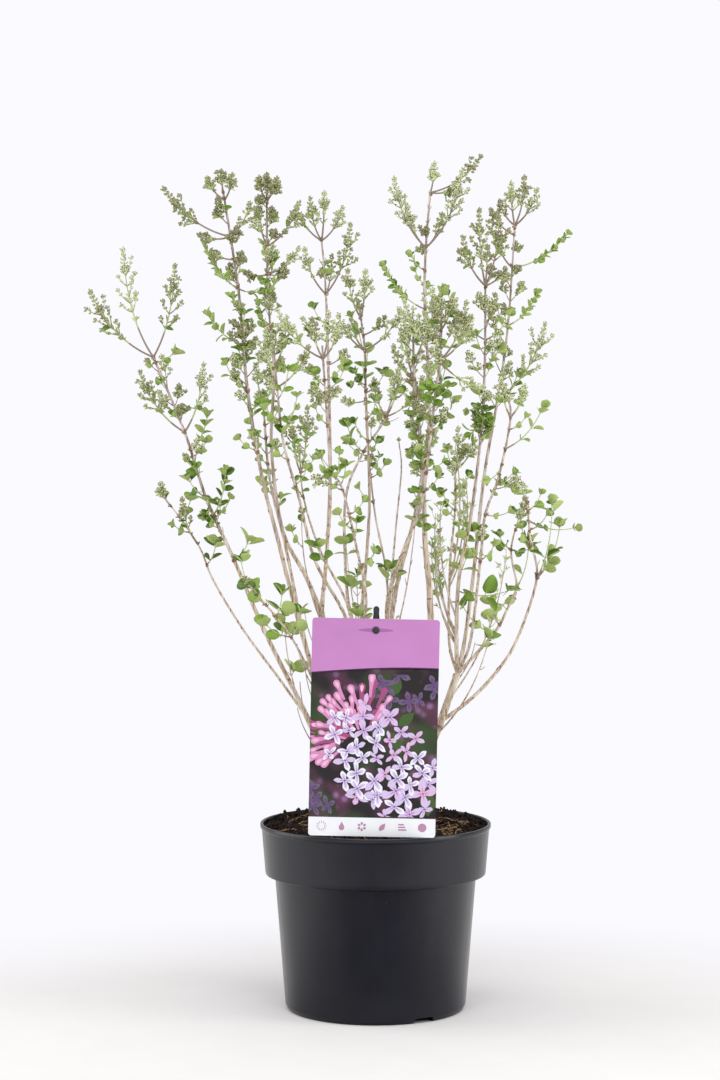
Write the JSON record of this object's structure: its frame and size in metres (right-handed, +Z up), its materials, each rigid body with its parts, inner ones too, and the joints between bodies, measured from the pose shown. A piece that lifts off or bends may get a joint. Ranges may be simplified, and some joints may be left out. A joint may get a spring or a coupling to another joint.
{
  "type": "potted lilac shrub",
  "caption": "Young lilac shrub in a round nursery pot, many upright wands breaking into small leaves and flower buds, with a blank-lettered picture label.",
  "frame": {"origin": "centre of the pot's flat underside, on the surface it stands on", "axes": "+Z up along the plant, -Y towards the front where the label stands, +X to the right seen from the front"},
  "size_m": [0.4096, 0.3267, 0.7005],
  "materials": {
    "pot": "satin",
    "soil": "rough, fibrous",
    "card": "smooth print",
    "holder": "satin",
    "bark": "dry bark",
    "foliage": "soft leaf"
  },
  "bodies": {
    "root": {"pot": "pot", "soil": "soil", "label_card": "card", "label_holder": "holder", "root_crown": "bark", "stem_left": "bark", "stem_left_inner": "bark", "stem_mid_left": "bark", "stem_front": "bark", "stem_back": "bark", "stem_mid_right": "bark", "stem_right": "bark", "bough_far_left": "bark", "bough_low_left": "bark", "bough_left_leafy": "bark", "bough_tall_left": "bark", "bough_left_short": "bark", "bough_tall_left_inner": "bark", "bough_panicle_left": "bark", "bough_thin_mid_left": "bark", "bough_front_mid": "bark", "bough_tall_mid": "bark", "bough_back_mid": "bark", "bough_centre": "bark", "bough_thin_centre": "bark", "bough_front_leafy": "bark", "bough_dead_twig": "bark", "bough_tallest_right": "bark", "bough_front_right": "bark", "bough_right_thick": "bark", "bough_back_right": "bark", "bough_right_upright": "bark", "bough_right_tall": "bark", "bough_right_front": "bark", "bough_right_leafy": "bark", "bough_far_right": "bark", "foliage_far_left": "foliage", "foliage_low_left": "foliage", "foliage_left_leafy": "foliage", "foliage_tall_left": "foliage", "foliage_left_short": "foliage", "foliage_tall_left_inner": "foliage", "foliage_panicle_left": "foliage", "foliage_thin_mid_left": "foliage", "foliage_front_mid": "foliage", "foliage_tall_mid": "foliage", "foliage_back_mid": "foliage", "foliage_centre": "foliage", "foliage_thin_centre": "foliage", "foliage_front_leafy": "foliage", "foliage_tallest_right": "foliage", "foliage_front_right": "foliage", "foliage_right_thick": "foliage", "foliage_back_right": "foliage", "foliage_right_upright": "foliage", "foliage_right_tall": "foliage", "foliage_right_front": "foliage", "foliage_right_leafy": "foliage", "foliage_far_right": "foliage"}
  },
  "joints": []
}
